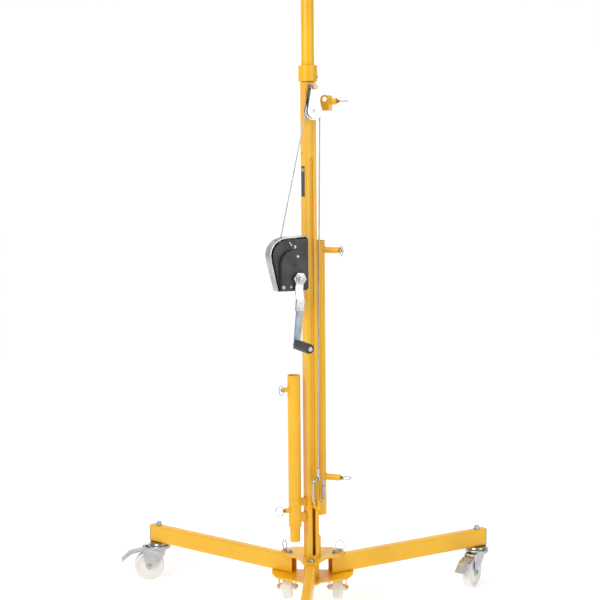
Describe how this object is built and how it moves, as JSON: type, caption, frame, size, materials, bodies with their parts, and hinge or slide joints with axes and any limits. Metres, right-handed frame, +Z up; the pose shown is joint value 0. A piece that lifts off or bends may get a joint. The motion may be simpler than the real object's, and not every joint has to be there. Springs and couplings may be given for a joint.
{
  "type": "drywall lift",
  "caption": "Tripod drywall lift: castored folding legs, slotted telescopic mast raised by a hand winch and cable, with a tilting cradle for holding boards",
  "frame": {"origin": "on the floor under the middle of the lift's footprint box", "axes": "+Z up along the mast, -Y along the fixed front leg, +X towards the right leg's side"},
  "size_m": [1.3254, 1.1422, 2.3253],
  "materials": {
    "yellow_paint": "semi-gloss powder coat",
    "zinc": "zinc plated, satin",
    "steel": "bright",
    "cable": "stranded wire rope",
    "black_paint": "satin black",
    "dark_plastic": "fine grained",
    "nylon": "smooth moulded"
  },
  "bodies": {
    "base": {"hub_top_plate": "yellow_paint", "hub_bottom_plate": "yellow_paint", "front_leg": "yellow_paint", "front_leg_bolt": "zinc", "castor_front_stem": "zinc", "left_leg_pivot": "zinc", "right_leg_pivot": "zinc", "transport_fork_left": "yellow_paint", "transport_fork_right": "yellow_paint", "mast": "yellow_paint", "pulley_hanger": "yellow_paint", "pulley_block": "zinc", "latch_bracket": "yellow_paint", "winch_mount": "yellow_paint", "winch_housing": "zinc", "winch_side_plate": "black_paint", "winch_gear_cover": "dark_plastic", "cable_lead": "cable", "cable_fall": "cable", "storage_socket": "yellow_paint", "extension_tube": "yellow_paint", "side_tube": "yellow_paint"},
    "castor_front": {"castor_front_fork": "zinc"},
    "castor_front_wheel": {"castor_front_wheel": "nylon"},
    "castor_front_brake": {"castor_front_brake": "zinc"},
    "right_leg": {"right_leg": "yellow_paint", "castor_right_stem": "zinc"},
    "right_lock_pin": {"right_lock_pin": "steel"},
    "transport_wheel_right": {"transport_wheel_right": "nylon"},
    "castor_right": {"castor_right_fork": "zinc"},
    "castor_right_wheel": {"castor_right_wheel": "nylon"},
    "castor_right_brake": {"castor_right_brake": "zinc"},
    "left_leg": {"left_leg": "yellow_paint", "castor_left_stem": "zinc"},
    "left_lock_pin": {"left_lock_pin": "steel"},
    "transport_wheel_left": {"transport_wheel_left": "nylon"},
    "castor_left": {"castor_left_fork": "zinc"},
    "castor_left_wheel": {"castor_left_wheel": "nylon"},
    "castor_left_brake": {"castor_left_brake": "zinc"},
    "slider": {"inner_mast": "yellow_paint", "mast_collar": "yellow_paint", "upper_tube": "yellow_paint", "cable_eye": "cable", "carabiner": "zinc"},
    "drum": {"winch_drum": "zinc", "cable_coil": "cable", "drum_gear": "steel"},
    "crank": {"crank_handle": "zinc"},
    "crank_grip": {"crank_grip": "dark_plastic"},
    "pulley": {"pulley_wheel": "steel"},
    "carabiner_gate": {"carabiner_gate": "zinc"},
    "side_plunger_upper": {"side_plunger_upper": "steel"},
    "side_plunger_lower": {"side_plunger_lower": "steel"},
    "socket_plunger": {"socket_plunger": "steel"},
    "extension_plunger": {"extension_plunger": "steel"},
    "latch_plunger": {"latch_plunger": "steel"},
    "cradle_head": {"cradle_head": "yellow_paint"},
    "cradle_beam": {"cradle_beam": "yellow_paint"},
    "cradle_arm_right": {"cradle_arm_right": "yellow_paint"},
    "cradle_arm_left": {"cradle_arm_left": "yellow_paint"}
  },
  "joints": [
    {"name": "castor_front_swivel", "type": "hinge", "parent": "base", "child": "castor_front", "pos_m": [0.04908, -0.46894, 0.12], "axis": [0, 0, 1], "continuous": true},
    {"name": "castor_front_roll", "type": "hinge", "parent": "castor_front", "child": "castor_front_wheel", "pos_m": [0.01914, -0.49233, 0.054], "axis": [0.6157, -0.788, 0], "continuous": true},
    {"name": "castor_front_brake_press", "type": "hinge", "parent": "castor_front", "child": "castor_front_brake", "pos_m": [0.00653, -0.50218, 0.117], "axis": [0.6157, -0.788, 0], "range_deg": [0, 10]},
    {"name": "right_leg_fold", "type": "hinge", "parent": "base", "child": "right_leg", "pos_m": [0.12529, 0.23506, 0.168], "axis": [0, 0, -1], "range_deg": [0, 100]},
    {"name": "right_lock_pull", "type": "slide", "parent": "base", "child": "right_lock_pin", "axis": [0, 0, 1], "range_m": [-0.0034, 0.0085]},
    {"name": "transport_wheel_right_roll", "type": "hinge", "parent": "base", "child": "transport_wheel_right", "pos_m": [0.13395, 0.24006, 0.084], "axis": [1, 0, 0], "continuous": true},
    {"name": "castor_right_swivel", "type": "hinge", "parent": "right_leg", "child": "castor_right", "pos_m": [0.62066, 0.52106, 0.12], "axis": [0, 0, 1], "continuous": true},
    {"name": "castor_right_roll", "type": "hinge", "parent": "castor_right", "child": "castor_right_wheel", "pos_m": [0.60224, 0.48783, 0.054], "axis": [0.8746, -0.4848, 0], "continuous": true},
    {"name": "castor_right_brake_press", "type": "hinge", "parent": "castor_right", "child": "castor_right_brake", "pos_m": [0.59448, 0.47383, 0.117], "axis": [0.8746, -0.4848, 0], "range_deg": [0, 10]},
    {"name": "left_leg_fold", "type": "hinge", "parent": "base", "child": "left_leg", "pos_m": [-0.02713, 0.23506, 0.168], "axis": [0, 0, 1], "range_deg": [0, 100]},
    {"name": "left_lock_pull", "type": "slide", "parent": "base", "child": "left_lock_pin", "axis": [0, 0, 1], "range_m": [-0.0034, 0.0085]},
    {"name": "transport_wheel_left_roll", "type": "hinge", "parent": "base", "child": "transport_wheel_left", "pos_m": [-0.03579, 0.24006, 0.084], "axis": [1, 0, 0], "continuous": true},
    {"name": "castor_left_swivel", "type": "hinge", "parent": "left_leg", "child": "castor_left", "pos_m": [-0.52249, 0.52106, 0.12], "axis": [0, 0, 1], "continuous": true},
    {"name": "castor_left_roll", "type": "hinge", "parent": "castor_left", "child": "castor_left_wheel", "pos_m": [-0.55952, 0.51251, 0.054], "axis": [0.225, -0.9744, 0], "continuous": true},
    {"name": "castor_left_brake_press", "type": "hinge", "parent": "castor_left", "child": "castor_left_brake", "pos_m": [-0.57511, 0.50892, 0.117], "axis": [0.225, -0.9744, 0], "range_deg": [0, 10]},
    {"name": "mast_slide", "type": "slide", "parent": "base", "child": "slider", "axis": [0, 0, 1], "range_m": [0, 1.1], "deforming": ["cable_fall"]},
    {"name": "drum_turn", "type": "hinge", "parent": "base", "child": "drum", "pos_m": [-0.01106, 0.10322, 1.193], "axis": [0.5, -0.866, 0], "range_deg": [0, 1358]},
    {"name": "crank_turn", "type": "hinge", "parent": "base", "child": "crank", "pos_m": [0.02453, 0.07758, 1.148], "axis": [0.5, -0.866, 0], "range_deg": [-4069, 0]},
    {"name": "pulley_turn", "type": "hinge", "parent": "base", "child": "pulley", "pos_m": [0.06723, 0.14843, 1.678], "axis": [0.5, -0.866, 0], "range_deg": [0, 2629]},
    {"name": "crank_grip_spin", "type": "hinge", "parent": "crank", "child": "crank_grip", "pos_m": [0.03935, 0.01224, 0.94195], "axis": [0.5, -0.866, 0], "continuous": true},
    {"name": "carabiner_gate_open", "type": "hinge", "parent": "slider", "child": "carabiner_gate", "pos_m": [0.09114, 0.16223, 0.417], "axis": [0.5, -0.866, 0], "range_deg": [0, 20], "stiffness_Nm_per_rad": 0.15},
    {"name": "side_plunger_upper_pull", "type": "slide", "parent": "base", "child": "side_plunger_upper", "axis": [0.9659, -0.2588, 0], "range_m": [0, 0.009], "stiffness_N_per_m": 400},
    {"name": "side_plunger_lower_pull", "type": "slide", "parent": "base", "child": "side_plunger_lower", "axis": [0.9659, -0.2588, 0], "range_m": [0, 0.009], "stiffness_N_per_m": 400},
    {"name": "socket_plunger_pull", "type": "slide", "parent": "base", "child": "socket_plunger", "axis": [-0.866, -0.5, 0], "range_m": [0, 0.009], "stiffness_N_per_m": 400},
    {"name": "extension_plunger_pull", "type": "slide", "parent": "base", "child": "extension_plunger", "axis": [-0.866, -0.5, 0], "range_m": [0, 0.009], "stiffness_N_per_m": 400},
    {"name": "latch_plunger_pull", "type": "slide", "parent": "base", "child": "latch_plunger", "axis": [0.9659, -0.2588, 0], "range_m": [0, 0.01], "stiffness_N_per_m": 400},
    {"name": "cradle_swivel", "type": "hinge", "parent": "slider", "child": "cradle_head", "pos_m": [0.04908, 0.19106, 2.13], "axis": [0, 0, 1], "continuous": true},
    {"name": "cradle_tilt", "type": "hinge", "parent": "cradle_head", "child": "cradle_beam", "pos_m": [0.04908, 0.19106, 2.2], "axis": [1, 0, 0], "range_deg": [0, 65]},
    {"name": "cradle_arm_right_fold", "type": "hinge", "parent": "cradle_beam", "child": "cradle_arm_right", "pos_m": [0.44908, 0.19106, 2.267], "axis": [0, 0, 1], "range_deg": [0, 90]},
    {"name": "cradle_arm_left_fold", "type": "hinge", "parent": "cradle_beam", "child": "cradle_arm_left", "pos_m": [-0.35092, 0.19106, 2.267], "axis": [0, 0, -1], "range_deg": [0, 90]}
  ],
  "couplings": [
    {"joint": "drum_turn", "follows": "mast_slide", "rad_per_m": 21.505},
    {"joint": "crank_turn", "follows": "mast_slide", "rad_per_m": -64.516},
    {"joint": "pulley_turn", "follows": "mast_slide", "rad_per_m": 41.667}
  ]
}
